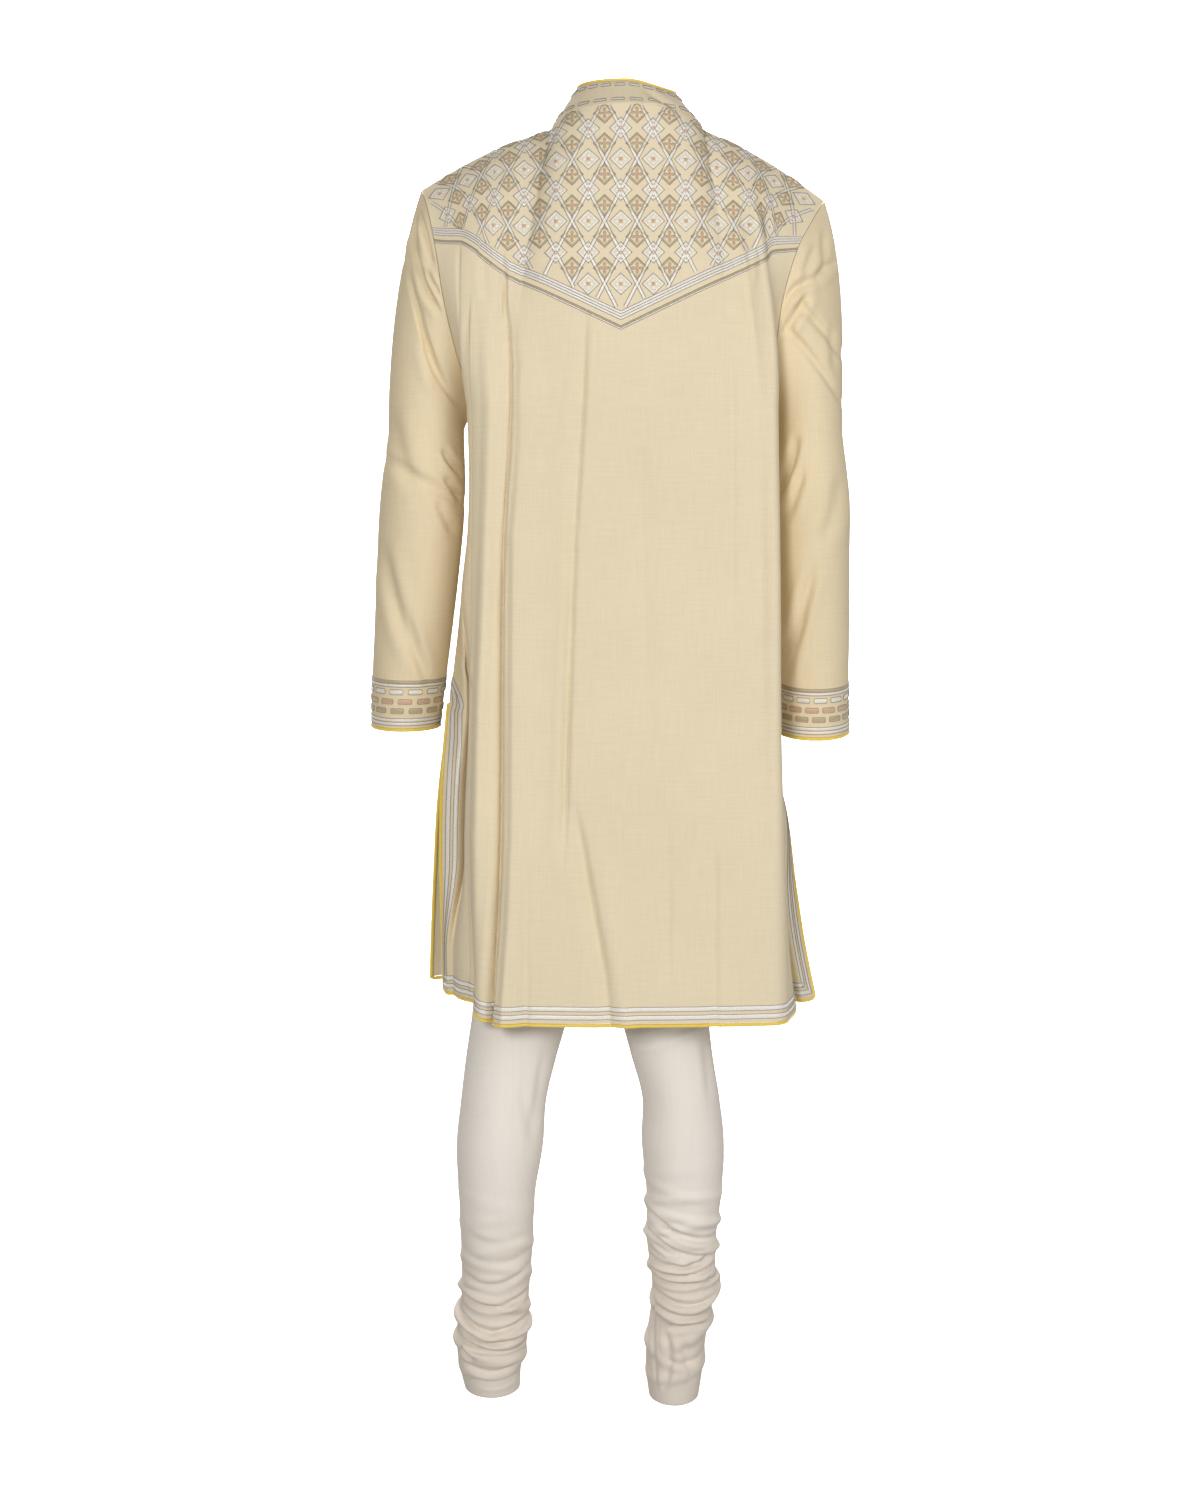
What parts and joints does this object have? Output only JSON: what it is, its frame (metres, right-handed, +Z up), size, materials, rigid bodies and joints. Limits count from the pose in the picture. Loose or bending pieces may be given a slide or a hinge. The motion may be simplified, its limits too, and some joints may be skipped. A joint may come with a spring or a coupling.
{
  "type": "kurta set",
  "caption": "Long straight kurta with a band collar, side slits and piped edges, over churidar trousers gathered at the ankles, both holding the form that they have when worn",
  "frame": {"origin": "middle of the neck opening, at the height of the collar's seam at the back of the neck, where the set is held", "axes": "+Z up along the body, +X towards the wearer's left, -Y towards the front of the kurta"},
  "size_m": [0.5636, 0.2744, 1.5497],
  "materials": {
    "kurta_back": "matte slub weave",
    "kurta_front": "matte slub weave",
    "kurta_sleeve_left": "matte slub weave",
    "kurta_sleeve_right": "matte slub weave",
    "kurta_collar": "matte slub weave",
    "kurta_placket": "matte slub weave",
    "kurta_button_1": "matte slub weave",
    "kurta_button_2": "matte slub weave",
    "kurta_button_3": "matte slub weave",
    "kurta_button_4": "matte slub weave",
    "collar_piping": "satin",
    "cuff_piping_left": "satin",
    "cuff_piping_right": "satin",
    "back_piping": "satin",
    "front_piping": "satin",
    "churidar_leg_left": "matte fine cotton",
    "churidar_leg_right": "matte fine cotton",
    "churidar_waistband": "matte fine cotton"
  },
  "bodies": {
    "root": {"kurta_back": "kurta_back", "kurta_front": "kurta_front", "kurta_sleeve_left": "kurta_sleeve_left", "kurta_sleeve_right": "kurta_sleeve_right", "kurta_collar": "kurta_collar", "kurta_placket": "kurta_placket", "kurta_button_1": "kurta_button_1", "kurta_button_2": "kurta_button_2", "kurta_button_3": "kurta_button_3", "kurta_button_4": "kurta_button_4", "collar_piping": "collar_piping", "cuff_piping_left": "cuff_piping_left", "cuff_piping_right": "cuff_piping_right", "back_piping": "back_piping", "front_piping": "front_piping", "churidar_leg_left": "churidar_leg_left", "churidar_leg_right": "churidar_leg_right", "churidar_waistband": "churidar_waistband"}
  },
  "joints": []
}
